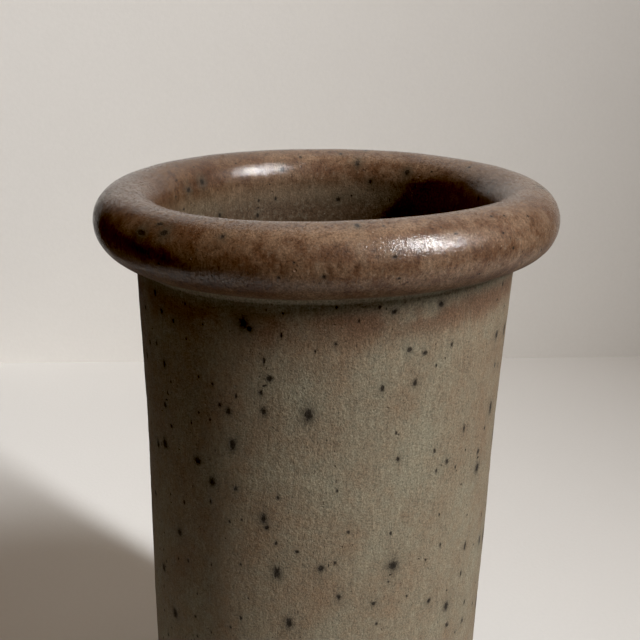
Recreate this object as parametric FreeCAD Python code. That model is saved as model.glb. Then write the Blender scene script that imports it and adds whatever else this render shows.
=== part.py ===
"""Stoneware vase with a rolled rim: an upright cylinder on a turned foot ring.

Frame: millimetres, +Z up, origin at the centre of the foot ring's resting face.
Every piece is a body of revolution about Z. The pot is made up as a potter
makes it: a floor disc on a foot ring, a wall luted to the floor with a bevel,
a clay coil luted over the wall's neck to make the rolled rim, and three glaze
coats that meet at the mouth and under the roll. The foot stays bare clay.
"""

import FreeCAD, Part

import math
import os

V = FreeCAD.Vector

# ---------------------------------------------------------------- overall
TOTAL_H = 188.0          # resting face to the top of the roll

# ---------------------------------------------------------------- rolled rim, glazed size
ROLL_R = 51.90           # radius of the roll's centre circle
ROLL_A = 8.50            # half width of the roll's oval section
ROLL_B = 8.30            # half height of the roll's oval section
ROLL_Z = TOTAL_H - ROLL_B

# ---------------------------------------------------------------- outside of the wall, glazed size
GLAZE_LINE_Z = 7.0       # the outer glaze stops here, bare clay below
WALL_OUT = [             # (height above the resting face, radius), glaze line to the roll
    (GLAZE_LINE_Z, 46.70),
    (12.0, 47.60),
    (24.0, 48.15),
    (50.0, 48.50),
    (90.0, 48.85),
    (124.0, 48.88),
    (150.0, 49.50),
    (167.0, 50.00),
]

# ---------------------------------------------------------------- inside, glazed size
BORE_R = ROLL_R - ROLL_A  # mouth and straight inner wall
FLOOR_TOP = 12.4          # top of the glazed floor inside
FLOOR_FILLET = 9.0        # hollow corner between floor and wall

# ---------------------------------------------------------------- glaze
GLAZE_T = 0.40           # thickness of the coats outside, on the roll and at the mouth
GLAZE_POOL_T = 0.60      # thickness of the lining where it has run down, in the corner and on the floor

# ---------------------------------------------------------------- foot
FOOT_R_OUT = 44.6        # foot ring, outside
FOOT_R_IN = 36.5         # foot ring, inside
FOOT_H = 4.0             # foot ring, height
FOOT_ROUND = 1.0         # worn edges of the resting face
FLOOR_UNDER_Z = 3.2      # underside of the floor disc inside the foot ring

# ---------------------------------------------------------------- lute joints in the clay
BEVEL_R = 45.6           # outer corner of the floor's bevelled edge
BEVEL_DEG = 20.0         # slope of the bevel, and how far up the hollow corner it starts
NECK_R = 46.6            # outside of the wall's neck, inside the coil

# ---------------------------------------------------------------- derived
CLAY_MOUTH_R = BORE_R + GLAZE_T
CLAY_FLOOR_Z = FLOOR_TOP - GLAZE_POOL_T
CLAY_FILLET = FLOOR_FILLET + GLAZE_POOL_T
FILLET_C = (BORE_R - FLOOR_FILLET, FLOOR_TOP + FLOOR_FILLET)  # centre of the hollow corner
WALL_TOP_R = WALL_OUT[-1][1]
CLAY_TOP_R = WALL_TOP_R - GLAZE_T


def pt(r, z):
    return V(r, 0.0, z)


def seg(a, b):
    return Part.LineSegment(pt(*a), pt(*b)).toShape()


def arc3(a, m, b):
    return Part.Arc(pt(*a), pt(*m), pt(*b)).toShape()


def curve_through(points):
    """A smooth curve through (r, z) points."""
    c = Part.BSplineCurve()
    c.interpolate([pt(r, z) for r, z in points])
    return c


def end(curve, last=False):
    p = curve.value(curve.LastParameter if last else curve.FirstParameter)
    return (p.x, p.z)


def param_at_z(curve, z):
    """Parameter of a rising curve at a height, by bisection."""
    lo, hi = curve.FirstParameter, curve.LastParameter
    for _ in range(60):
        mid = (lo + hi) / 2
        if curve.value(mid).z < z:
            lo = mid
        else:
            hi = mid
    return (lo + hi) / 2


def radius_at_z(curve, z):
    return curve.value(param_at_z(curve, z)).x


def revolve(edges, name):
    """A closed profile in the XZ plane, turned about Z into one solid."""
    face = Part.Face(Part.Wire(Part.__sortEdges__(edges)))
    turned = face.revolve(V(0, 0, 0), V(0, 0, 1), 360.0)
    solid = turned.Solids[0]
    if solid.Volume < 0:
        solid.reverse()
    if not solid.isValid():
        raise RuntimeError(name + " is not a valid solid")
    return solid


def roll_point(angle_deg, inset=0.0):
    """A point on the roll's oval section: 0 faces outwards, 90 up, 180 the mouth."""
    t = math.radians(angle_deg)
    return (ROLL_R + (ROLL_A - inset) * math.cos(t), ROLL_Z + (ROLL_B - inset) * math.sin(t))


def roll_angle_at(radius, inset=0.0):
    """Angle, on the underside, where the oval section reaches a radius."""
    return -math.degrees(math.acos((radius - ROLL_R) / (ROLL_A - inset)))


def fillet_point(angle_deg, radius):
    """A point on the hollow corner: -90 is the floor, 0 the wall."""
    t = math.radians(angle_deg)
    return (FILLET_C[0] + radius * math.cos(t), FILLET_C[1] + radius * math.sin(t))


CREASE_A = roll_angle_at(WALL_TOP_R)                 # crease under the roll, over the glaze
CREASE = roll_point(CREASE_A)
CREASE_CLAY_A = roll_angle_at(CLAY_TOP_R, GLAZE_T)   # the same crease in the clay
CREASE_CLAY = roll_point(CREASE_CLAY_A, GLAZE_T)

SHOULDER_Z = CREASE_CLAY[1]                          # shoulder the coil sits on

OUT_GLAZED = curve_through([(r, z) for z, r in WALL_OUT] + [CREASE])
OUT_CLAY = curve_through([(r - GLAZE_T, z) for z, r in WALL_OUT] + [CREASE_CLAY])

# the floor's bevel runs square out of the hollow corner, down to the outside
CORNER_IN = fillet_point(-BEVEL_DEG, CLAY_FILLET)
CORNER_OUT = (BEVEL_R, CORNER_IN[1] - (BEVEL_R - CORNER_IN[0]) * math.tan(math.radians(BEVEL_DEG)))
UPPER_MID = -BEVEL_DEG / 2
LOWER_MID = -(90.0 + BEVEL_DEG) / 2


# ---------------------------------------------------------------- clay pieces
def foot_ring():
    k, d = FOOT_ROUND, FOOT_ROUND * (1 - math.sqrt(0.5))
    return revolve(
        [
            seg((FOOT_R_IN, FOOT_H), (FOOT_R_IN, k)),
            arc3((FOOT_R_IN, k), (FOOT_R_IN + d, d), (FOOT_R_IN + k, 0.0)),
            seg((FOOT_R_IN + k, 0.0), (FOOT_R_OUT - k, 0.0)),
            arc3((FOOT_R_OUT - k, 0.0), (FOOT_R_OUT - d, d), (FOOT_R_OUT, k)),
            seg((FOOT_R_OUT, k), (FOOT_R_OUT, FOOT_H)),
            seg((FOOT_R_OUT, FOOT_H), (FOOT_R_IN, FOOT_H)),
        ],
        "foot_ring",
    )


def floor_disc():
    """Floor: seated inside the foot ring, with a bevelled upstand the wall closes on."""
    r = CLAY_FILLET
    low = end(OUT_CLAY)
    return revolve(
        [
            seg((0.0, FLOOR_UNDER_Z), (FOOT_R_IN, FLOOR_UNDER_Z)),
            seg((FOOT_R_IN, FLOOR_UNDER_Z), (FOOT_R_IN, FOOT_H)),
            seg((FOOT_R_IN, FOOT_H), (FOOT_R_OUT, FOOT_H)),
            seg((FOOT_R_OUT, FOOT_H), low),
            OUT_CLAY.toShape(OUT_CLAY.FirstParameter, param_at_z(OUT_CLAY, CORNER_OUT[1])),
            seg((radius_at_z(OUT_CLAY, CORNER_OUT[1]), CORNER_OUT[1]), CORNER_OUT),
            seg(CORNER_OUT, CORNER_IN),
            arc3(CORNER_IN, fillet_point(LOWER_MID, r), fillet_point(-90.0, r)),
            seg(fillet_point(-90.0, r), (0.0, CLAY_FLOOR_Z)),
            seg((0.0, CLAY_FLOOR_Z), (0.0, FLOOR_UNDER_Z)),
        ],
        "floor_disc",
    )


def body_wall():
    """Thrown wall: closes on the floor's bevel below, narrows to a neck inside the coil above."""
    r = CLAY_FILLET
    return revolve(
        [
            seg(CORNER_IN, CORNER_OUT),
            seg(CORNER_OUT, (radius_at_z(OUT_CLAY, CORNER_OUT[1]), CORNER_OUT[1])),
            OUT_CLAY.toShape(param_at_z(OUT_CLAY, CORNER_OUT[1]), OUT_CLAY.LastParameter),
            seg(end(OUT_CLAY, True), (NECK_R, SHOULDER_Z)),
            seg((NECK_R, SHOULDER_Z), (NECK_R, ROLL_Z)),
            seg((NECK_R, ROLL_Z), (CLAY_MOUTH_R, ROLL_Z)),
            seg((CLAY_MOUTH_R, ROLL_Z), fillet_point(0.0, r)),
            arc3(fillet_point(0.0, r), fillet_point(UPPER_MID, r), CORNER_IN),
        ],
        "body_wall",
    )


def rolled_rim():
    """Clay coil of oval section, hollowed underneath to sit over the neck and on the shoulder."""
    over = curve_through(
        [roll_point(CREASE_CLAY_A + (180.0 - CREASE_CLAY_A) * i / 28, GLAZE_T) for i in range(29)]
    )
    return revolve(
        [
            over.toShape(),
            seg(end(over, True), (NECK_R, ROLL_Z)),
            seg((NECK_R, ROLL_Z), (NECK_R, SHOULDER_Z)),
            seg((NECK_R, SHOULDER_Z), CREASE_CLAY),
        ],
        "rolled_rim",
    )


# ---------------------------------------------------------------- glaze coats
def wall_glaze():
    """Coat on the outside of the wall, from the glaze line to the crease under the roll."""
    return revolve(
        [
            seg(end(OUT_CLAY), end(OUT_GLAZED)),
            OUT_GLAZED.toShape(),
            seg(end(OUT_GLAZED, True), end(OUT_CLAY, True)),
            OUT_CLAY.toShape(),
        ],
        "wall_glaze",
    )


def rim_glaze():
    """Coat round the roll: from the crease outside, over the top, to the mouth."""
    outer = curve_through([roll_point(CREASE_A + (180.0 - CREASE_A) * i / 28) for i in range(29)])
    inner = curve_through(
        [roll_point(CREASE_CLAY_A + (180.0 - CREASE_CLAY_A) * i / 28, GLAZE_T) for i in range(29)]
    )
    return revolve(
        [
            outer.toShape(),
            seg(end(outer, True), end(inner, True)),
            inner.toShape(),
            seg(end(inner), end(outer)),
        ],
        "rim_glaze",
    )


def liner_glaze():
    """Lining: straight inner wall, hollow corner and floor, a little thicker where it has run down."""
    f, g = FLOOR_FILLET, CLAY_FILLET
    return revolve(
        [
            seg((0.0, FLOOR_TOP), fillet_point(-90.0, f)),
            arc3(fillet_point(-90.0, f), fillet_point(-45.0, f), fillet_point(0.0, f)),
            seg(fillet_point(0.0, f), (BORE_R, ROLL_Z)),
            seg((BORE_R, ROLL_Z), (CLAY_MOUTH_R, ROLL_Z)),
            seg((CLAY_MOUTH_R, ROLL_Z), fillet_point(0.0, g)),
            arc3(fillet_point(0.0, g), fillet_point(UPPER_MID, g), CORNER_IN),
            arc3(CORNER_IN, fillet_point(LOWER_MID, g), fillet_point(-90.0, g)),
            seg(fillet_point(-90.0, g), (0.0, CLAY_FLOOR_Z)),
            seg((0.0, CLAY_FLOOR_Z), (0.0, FLOOR_TOP)),
        ],
        "liner_glaze",
    )


PIECES = {
    "foot_ring": foot_ring,
    "floor_disc": floor_disc,
    "body_wall": body_wall,
    "rolled_rim": rolled_rim,
    "wall_glaze": wall_glaze,
    "rim_glaze": rim_glaze,
    "liner_glaze": liner_glaze,
}

os.makedirs("parts", exist_ok=True)
made = {}
for name, make in PIECES.items():
    shape = make()
    made[name] = shape
    shape.exportStep("parts/%s.step" % name)
    bb = shape.optimalBoundingBox(False)
    print(
        "%-12s volume %9.1f mm3  z %7.2f to %7.2f  r %6.2f  solids %d  valid %s"
        % (name, shape.Volume, bb.ZMin, bb.ZMax, bb.XMax, len(shape.Solids), shape.isValid())
    )

names = sorted(made)
for i, a in enumerate(names):
    for b in names[i + 1:]:
        common = made[a].common(made[b])
        if common.Volume > 0.005:
            print("overlap %s %s %.4f mm3" % (a, b, common.Volume))

clay = sum(made[n].Volume for n in ("foot_ring", "floor_disc", "body_wall", "rolled_rim"))
glaze = sum(made[n].Volume for n in ("wall_glaze", "rim_glaze", "liner_glaze"))
print("clay %.1f cm3, glaze %.1f cm3" % (clay / 1000, glaze / 1000))
print("bore radius %.2f, straight length %.2f, corner %s" % (BORE_R, ROLL_Z - FILLET_C[1], CORNER_OUT))
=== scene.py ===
# A wheel-thrown stoneware vase with a heavy rolled rim, glazed inside and out over an iron-speckled clay.
# Lengths inside the shape code are millimetres; meshes are made in metres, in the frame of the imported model.
import math
import bpy
import numpy as np
from mathutils import Matrix, Vector


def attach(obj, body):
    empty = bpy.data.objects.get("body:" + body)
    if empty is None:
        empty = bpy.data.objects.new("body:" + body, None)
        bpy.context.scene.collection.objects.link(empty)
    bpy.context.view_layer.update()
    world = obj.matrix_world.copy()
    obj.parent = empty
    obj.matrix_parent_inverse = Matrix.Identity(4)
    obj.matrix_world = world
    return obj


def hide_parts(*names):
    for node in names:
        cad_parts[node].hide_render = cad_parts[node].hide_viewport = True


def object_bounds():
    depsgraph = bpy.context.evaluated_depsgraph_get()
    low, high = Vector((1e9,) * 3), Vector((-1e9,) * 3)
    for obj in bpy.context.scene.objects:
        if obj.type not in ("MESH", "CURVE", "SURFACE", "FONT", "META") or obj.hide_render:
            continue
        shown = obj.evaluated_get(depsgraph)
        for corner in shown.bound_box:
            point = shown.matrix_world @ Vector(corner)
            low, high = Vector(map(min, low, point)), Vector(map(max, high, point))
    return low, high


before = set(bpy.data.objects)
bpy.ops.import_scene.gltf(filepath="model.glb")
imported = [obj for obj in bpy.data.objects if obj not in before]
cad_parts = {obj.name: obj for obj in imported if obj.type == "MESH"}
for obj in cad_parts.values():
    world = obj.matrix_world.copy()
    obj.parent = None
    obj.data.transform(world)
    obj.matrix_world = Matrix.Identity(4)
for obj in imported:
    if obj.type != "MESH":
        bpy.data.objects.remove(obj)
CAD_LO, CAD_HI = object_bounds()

MM = 0.001
scene = bpy.context.scene

# ----------------------------------------------------------------------------------------------
# Profile of the vase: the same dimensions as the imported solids
# ----------------------------------------------------------------------------------------------
TOTAL_H = CAD_HI.z / MM
ROLL_R, ROLL_A, ROLL_B = 51.90, 8.50, 8.30
ROLL_Z = TOTAL_H - ROLL_B
GLAZE_LINE_Z = 7.0
BORE_R = 43.40
FLOOR_TOP = 12.4
FILLET = 9.0
GLAZE_T = 0.40
POOL_T = 0.60
WALL_OUT = [(7, 46.70), (12, 47.60), (24, 48.15), (50, 48.50), (90, 48.85), (124, 48.88), (150, 49.50), (167, 50.00)]
CREASE_DEG = -102.92
FOOT_R_OUT, FOOT_R_IN, FOOT_H, FLOOR_UNDER_Z, FOOT_ROUND = 44.6, 36.5, 4.0, 3.2, 1.0
NECK_R = 46.6


def spline(points, steps):
    """Natural cubic spline r(z) through the points, sampled."""
    z = np.array([p[0] for p in points], float)
    r = np.array([p[1] for p in points], float)
    n = len(z)
    h = np.diff(z)
    a = np.zeros((n, n))
    b = np.zeros(n)
    a[0, 0] = a[-1, -1] = 1.0
    for i in range(1, n - 1):
        a[i, i - 1], a[i, i], a[i, i + 1] = h[i - 1], 2 * (h[i - 1] + h[i]), h[i]
        b[i] = 6 * ((r[i + 1] - r[i]) / h[i] - (r[i] - r[i - 1]) / h[i - 1])
    m = np.linalg.solve(a, b)
    zz = np.linspace(z[0], z[-1], steps)
    k = np.clip(np.searchsorted(z, zz) - 1, 0, n - 2)
    t0, t1, hk = z[k + 1] - zz, zz - z[k], h[k]
    rr = (m[k] * t0 ** 3 + m[k + 1] * t1 ** 3) / (6 * hk) + (r[k] / hk - m[k] * hk / 6) * t0 + (r[k + 1] / hk - m[k + 1] * hk / 6) * t1
    return np.stack([rr, zz], 1)


def arclen(p):
    d = np.hypot(np.diff(p[:, 0]), np.diff(p[:, 1]))
    return np.concatenate([[0.0], np.cumsum(d)])


def resample(p, step):
    s = arclen(p)
    keep = np.concatenate([[True], np.diff(s) > 1e-6])
    p, s = p[keep], s[keep]
    n = max(2, int(round(s[-1] / step)) + 1)
    t = np.linspace(0, s[-1], n)
    return np.stack([np.interp(t, s, p[:, 0]), np.interp(t, s, p[:, 1])], 1)


def soften(p, s_mid, sigma, reach, rounds=1):
    """Rounds a corner of a densely sampled line with a Gaussian along its length, faded out at the reach."""
    s = arclen(p)
    out = p.copy()
    for i in np.where(abs(s - s_mid) < reach)[0]:
        fade = 0.5 + 0.5 * math.cos(math.pi * min(1.0, abs(s[i] - s_mid) / reach))
        sg = max(1e-3, sigma * fade)
        w = np.exp(-0.5 * ((s - s[i]) / sg) ** 2)
        w /= w.sum()
        out[i] = (p * w[:, None]).sum(0)
    return out


def master_profile():
    """The skin of the glaze from its lower edge, up the wall, over the roll, down the bore, to the centre of the floor.

    Returns points (r, z) and the lengths along the line at the crease and at the mouth."""
    step = 0.12
    wall = spline(WALL_OUT, 900)
    crease = np.array([ROLL_R + ROLL_A * math.cos(math.radians(CREASE_DEG)), ROLL_Z + ROLL_B * math.sin(math.radians(CREASE_DEG))])
    wall = np.vstack([wall, crease[None]])
    t = np.radians(np.linspace(CREASE_DEG, 180.0, 900))
    roll = np.stack([ROLL_R + ROLL_A * np.cos(t), ROLL_Z + ROLL_B * np.sin(t)], 1)
    bore = np.array([[BORE_R, ROLL_Z], [BORE_R, FLOOR_TOP + FILLET]])
    t = np.radians(np.linspace(0, -90, 120))
    fil = np.stack([BORE_R - FILLET + FILLET * np.cos(t), FLOOR_TOP + FILLET + FILLET * np.sin(t)], 1)
    floor = np.array([[BORE_R - FILLET, FLOOR_TOP], [0.0, FLOOR_TOP]])
    w = resample(wall, step)
    r = resample(roll, step)
    b = resample(np.vstack([bore, fil[1:], floor[1:]]), step)
    p = np.vstack([w, r[1:], b[1:]])
    s = arclen(p)
    sc, sm = s[len(w) - 1], s[len(w) + len(r) - 2]
    p = soften(p, sc, 1.7, 8.0)
    return p, sc, sm


# ----------------------------------------------------------------------------------------------
# Seeded gradient noise, in millimetres
# ----------------------------------------------------------------------------------------------
def _hash(i, j, k, seed):
    h = (i.astype(np.uint64) * np.uint64(374761393) + j.astype(np.uint64) * np.uint64(668265263)
         + k.astype(np.uint64) * np.uint64(2246822519) + np.uint64(seed * 3266489917)) & np.uint64(0xFFFFFFFF)
    h = ((h ^ (h >> np.uint64(15))) * np.uint64(2246822519)) & np.uint64(0xFFFFFFFF)
    h = ((h ^ (h >> np.uint64(13))) * np.uint64(3266489917)) & np.uint64(0xFFFFFFFF)
    return (h ^ (h >> np.uint64(16))) & np.uint64(0xFFFFFFFF)


_G = np.array([(1, 1, 0), (-1, 1, 0), (1, -1, 0), (-1, -1, 0), (1, 0, 1), (-1, 0, 1), (1, 0, -1), (-1, 0, -1),
               (0, 1, 1), (0, -1, 1), (0, 1, -1), (0, -1, -1), (1, 1, 0), (-1, 1, 0), (0, -1, 1), (0, -1, -1)], float)


def perlin(x, y, z, size, seed):
    """Gradient noise in about -1..1 with features of the given size; size is one number or three."""
    sx, sy, sz = (size, size, size) if np.isscalar(size) else size
    p = [x / sx + 512.0, y / sy + 512.0, z / sz + 512.0]
    c = [np.floor(q).astype(np.int64) for q in p]
    f = [q - g for q, g in zip(p, c)]
    u = [q * q * q * (q * (q * 6 - 15) + 10) for q in f]
    out = 0.0
    for dx in (0, 1):
        wx = u[0] if dx else 1 - u[0]
        for dy in (0, 1):
            wy = u[1] if dy else 1 - u[1]
            for dz in (0, 1):
                wz = u[2] if dz else 1 - u[2]
                g = _G[(_hash(c[0] + dx, c[1] + dy, c[2] + dz, seed) & np.uint64(15)).astype(np.int64)]
                out = out + wx * wy * wz * (g[..., 0] * (f[0] - dx) + g[..., 1] * (f[1] - dy) + g[..., 2] * (f[2] - dz))
    return out * 1.25


def smooth(e0, e1, x):
    t = np.clip((x - e0) / (e1 - e0), 0, 1)
    return t * t * (3 - 2 * t)


# ----------------------------------------------------------------------------------------------
# The rim isn't perfectly true: it wavers by about a millimetre, as the potter left it
# ----------------------------------------------------------------------------------------------
def waver(r, phi, z):
    w = smooth(88.0, 160.0, z)
    dz = 1.24 * np.cos(phi) - 0.115 * np.cos(2 * phi) - 0.315 * np.sin(2 * phi) - 0.15 * np.cos(3 * phi) + 0.03 * np.sin(3 * phi)
    dr = 0.07 * np.cos(phi) + 0.535 * np.sin(phi) + 0.145 * np.cos(2 * phi) - 0.095 * np.sin(2 * phi) - 0.02 * np.cos(3 * phi) + 0.02 * np.sin(3 * phi)
    k = smooth(0.0, 20.0, r)
    return r + w * dr * k, z + w * dz


def normals_of(p, closed_phi=True):
    """Unit normals of a grid of points p[s, phi], pointing to the right of increasing s."""
    ds = np.gradient(p, axis=0)
    dp = np.roll(p, -1, axis=1) - np.roll(p, 1, axis=1)
    n = np.cross(dp, ds)
    ln = np.linalg.norm(n, axis=2, keepdims=True)
    return n / np.maximum(ln, 1e-12)


# ----------------------------------------------------------------------------------------------
# Iron spots: where the larger ones lie. Wall: (azimuth in degrees, height, half width, half height, strength), in mm.
# Roll: (azimuth, angle round the roll from outermost, half width, half height, strength).
# ----------------------------------------------------------------------------------------------
WALL_SPOTS = [
    (-111.2, 164.3, 0.8, 1.2, 1), (-109.5, 163.0, 0.6, 0.7, 1), (-105.7, 142.8, 0.5, 0.9, 1), (-93.4, 142.6, 0.8, 1.4, 2), (-115.3, 132.8, 0.7, 1.4, 1),
    (-116.4, 141.4, 0.6, 0.8, 0.8), (-122.5, 120.8, 0.8, 0.9, 0.8), (-128.0, 125.3, 0.9, 0.9, 0.6), (-114.4, 120.9, 0.5, 0.6, 0.7), (-105.7, 114.1, 0.6, 1.2, 1),
    (-104.7, 111.9, 0.5, 0.6, 1), (-101.6, 99.5, 0.8, 1.3, 1), (-97.8, 85.2, 0.7, 1.2, 1), (-88.9, 101.7, 0.7, 0.7, 1), (-95.8, 106.2, 0.4, 0.5, 0.8),
    (-105.5, 155.5, 0.3, 0.7, 0.9), (-106.5, 147.6, 0.4, 0.6, 0.7), (-119.2, 142.7, 0.4, 0.5, 0.8), (-104.1, 151.3, 0.7, 0.7, 0.35), (-71.6, 166.7, 0.7, 0.5, 0.7),
    (-57.6, 166.8, 0.6, 0.7, 1), (-36.8, 96.5, 0.4, 1.1, 0.5), (-67.4, 100.4, 1.0, 1.0, 1.5), (-83.5, 93.4, 0.5, 0.6, 1), (-73.0, 90.5, 0.5, 0.5, 1),
    (-53.4, 86.3, 0.5, 0.6, 1), (-45.0, 81.2, 0.7, 1.1, 1), (-43.8, 74.8, 0.5, 0.6, 0.9), (-33.9, 71.3, 0.4, 0.6, 0.8), (-66.4, 156.9, 0.5, 0.5, 1),
    (-61.6, 155.4, 0.6, 0.4, 1), (-52.5, 156.0, 0.3, 0.6, 0.9), (-64.0, 148.4, 0.5, 0.7, 1), (-73.6, 148.3, 0.4, 0.7, 1), (-67.6, 129.5, 0.4, 0.5, 0.9),
    (-50.0, 125.1, 0.4, 0.6, 0.9), (-43.4, 132.0, 0.3, 0.8, 0.7),
]
ROLL_SPOTS = [
    (-134, 32, 1.5, 0.6, 1), (-130, 53, 0.8, 0.4, 1), (-127, 40, 1.0, 0.6, 1), (-112, 47, 0.5, 0.5, 1), (-165, 61, 0.7, 0.3, 1),
    (145, 160, 0.7, 0.8, 1), (108, 155, 0.6, 0.5, 0.8), (-96, 13, 0.2, 0.2, 2), (-99, -9, 0.3, 0.3, 2), (-90, -7, 0.4, 0.4, 2),
    (78, 140, 0.6, 1.1, 1), (57, 154, 0.7, 0.9, 1), (72, -179, 0.5, 0.6, 1), (85, 116, 0.4, 0.5, 0.9), (-83, 74, 0.5, 0.7, 0.8),
    (-49, 31, 0.3, 0.2, 2), (-75, -15, 0.3, 0.2, 2), (-76, 17, 0.4, 0.3, 2),
]
BORE_SPOTS = [
    (136.6, 172.6, 0.5, 0.6, 1), (118.8, 170.8, 0.4, 0.6, 1), (111.0, 175.5, 0.3, 0.6, 0.7), (85.0, 174.8, 0.6, 0.6, 0.9),
]

N_PHI = 480
PROFILE, S_CREASE, S_MOUTH = master_profile()
S_ALL = arclen(PROFILE)


def s_of_wall(z):
    k = S_ALL <= S_CREASE
    return float(np.interp(z, PROFILE[k, 1], S_ALL[k]))


def s_of_roll(deg):
    if deg > 185:
        deg -= 360
    if deg < -170:
        deg += 360
    t = math.radians(deg)
    q = np.array([ROLL_R + ROLL_A * math.cos(t), ROLL_Z + ROLL_B * math.sin(t)])
    k = S_ALL >= S_CREASE
    d = np.hypot(*(PROFILE[k] - q).T)
    return float(S_ALL[k][np.argmin(d)])


def s_of_bore(z):
    return S_MOUTH + (ROLL_Z - z)


def all_spots():
    """(s, phi, half width, half height, strength) of every spot; the named ones, then a seeded scatter elsewhere."""
    out = []
    for az, z, a, b, k in WALL_SPOTS:
        out.append((s_of_wall(z), math.radians(az), a, b, k))
    for az, deg, a, b, k in ROLL_SPOTS:
        out.append((s_of_roll(deg), math.radians(az), a, b, k))
    for az, z, a, b, k in BORE_SPOTS:
        out.append((s_of_bore(z), math.radians(az), a, b, k))
    rng = np.random.default_rng(20)
    s_end = S_ALL[-1]
    made = list(out)

    def radius_at(s):
        return float(np.interp(s, S_ALL, PROFILE[:, 0]))

    def far_enough(s, phi, gap, a):
        r = radius_at(s)
        for q in made:
            if abs(q[0] - s) < gap + 4:
                dphi = (q[1] - phi + math.pi) % (2 * math.pi) - math.pi
                if math.hypot(q[0] - s, dphi * r) < gap + a + max(q[2], q[3]):
                    return False
        return True

    def scatter(s0, s1, count, lo, hi, tall, gap, skip=None):
        got = tries = 0
        while got < count and tries < count * 30:
            tries += 1
            s = rng.uniform(s0, s1)
            phi = rng.uniform(-math.pi, math.pi)
            a = lo + (hi - lo) * rng.random() ** 2.6
            b = a * rng.uniform(0.8, tall)
            k = rng.uniform(0.45, 1.0)
            if rng.random() < radius_at(s) / 52.0 and not (skip and skip(s, math.degrees(phi), a)) and far_enough(s, phi, gap, a):
                made.append((s, phi, a, b, k))
                got += 1

    def seen_wall(s, az, a):
        # The side with the named spots only takes small ones more.
        return -132 < az < -34 and a > 0.36

    scatter(3, S_CREASE - 1, 560, 0.22, 0.95, 1.9, 2.6, seen_wall)
    scatter(S_CREASE + 2, S_MOUTH, 75, 0.25, 1.15, 1.1, 2.8, lambda s, az, a: -175 < az < -20 and a > 0.4)
    scatter(S_MOUTH + 1, s_end - 4, 260, 0.22, 0.9, 1.5, 2.8, None)
    return made


def spot_layers(spots):
    """Splits the spots into two layers so that no two in a layer lie close together."""
    layers = [[], []]
    for q in sorted(spots, key=lambda q: -q[2] * q[3]):
        r = float(np.interp(q[0], S_ALL, PROFILE[:, 0]))
        for layer in layers:
            ok = True
            for o in layer:
                dphi = (o[1] - q[1] + math.pi) % (2 * math.pi) - math.pi
                if math.hypot(o[0] - q[0], dphi * r) < 2.6 + max(q[2], q[3]) + max(o[2], o[3]):
                    ok = False
                    break
            if ok:
                layer.append(q)
                break
    return layers


SPOTS = all_spots()
LAYERS = spot_layers(SPOTS)


def spot_fields(s, phi, r):
    """For vertices at (s, phi, r): per layer a vector (across / half width, along / half height, far) and one halo value."""
    n = len(s)
    out = []
    halo = np.zeros(n)
    for layer in LAYERS:
        f = np.zeros((n, 3))
        f[:, 0] = 30.0
        f[:, 2] = 1.0
        best = np.full(n, 1e9)
        for qs, qphi, a, b, k in layer:
            near = np.abs(s - qs) < 9.0
            idx = np.where(near)[0]
            if not len(idx):
                continue
            dphi = (phi[idx] - qphi + math.pi) % (2 * math.pi) - math.pi
            u = dphi * r[idx]
            v = s[idx] - qs
            edge = np.hypot(u, v) - max(a, b)
            hit = edge < 1.45
            j = idx[hit]
            better = edge[hit] < best[j]
            j = j[better]
            best[j] = edge[hit][better]
            f[j, 0] = (u / a)[hit][better]
            f[j, 1] = (v / b)[hit][better]
            f[j, 2] = 0.0
            size = math.sqrt(a * b)
            if size > 0.3:
                g = np.exp(-0.5 * (np.hypot(u / 1.0, v / 1.25) / (0.75 + 1.05 * size)) ** 2)
                halo[idx] = np.maximum(halo[idx], g * min(1.0, (size - 0.2) / 0.6) * min(k, 1.3))
        out.append(f)
    return out[0], out[1], halo


# ----------------------------------------------------------------------------------------------
# Surface relief of the glazed skin
# ----------------------------------------------------------------------------------------------
def relief(x, y, z, s, phi):
    """Height of the skin above the plain profile, in mm: slow unevenness, finger rings, dimples."""
    inside = smooth(S_MOUTH - 4, S_MOUTH + 14, s)
    on_roll = smooth(S_CREASE - 2, S_CREASE + 3, s) * (1 - smooth(S_MOUTH - 3, S_MOUTH + 6, s))
    wall = 1 - smooth(S_CREASE - 3, S_CREASE + 1, s)
    h = 0.13 * perlin(x, y, z, (34, 34, 30), 11) * (1 - 0.35 * on_roll)
    h = h + 0.05 * perlin(x, y, z, (13, 13, 9), 12)
    # Throwing rings: faint outside, plainer inside, rising as a spiral.
    turn = phi / (2 * math.pi)
    out_ring = np.sin(2 * math.pi * (z / 6.4 + turn + 0.25 * perlin(x, y, z, 30, 13)))
    in_ring = np.sin(2 * math.pi * (s / 7.8 - turn + 0.35 * perlin(x, y, z, 34, 14)))
    h = h + wall * 0.022 * out_ring * (0.6 + 0.6 * perlin(x, y, z, 22, 15))
    h = h + inside * smooth(S_MOUTH, S_MOUTH + 20, s) * 0.13 * in_ring
    # Dimples and faint pimples of a thick glaze over a grogged clay.
    h = h + (0.020 + 0.012 * on_roll) * perlin(x, y, z, 4.6, 16) + 0.011 * perlin(x, y, z, 2.3, 17)
    # Long shallow facets left by a rib on the outside of the roll.
    h = h + on_roll * 0.07 * perlin(np.cos(phi) * 30, np.sin(phi) * 30, z * 0.5, (9, 9, 14), 18)
    # The seam where the roll was folded down on the neck.
    h = h - 0.34 * np.exp(-0.5 * ((s - S_CREASE - 0.6 - 0.5 * perlin(np.cos(phi) * 50, np.sin(phi) * 50, z * 0, 17.0, 19)) / 0.38) ** 2) * (0.75 + 0.5 * perlin(x, y, z * 0, 12.0, 20))
    return h


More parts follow.
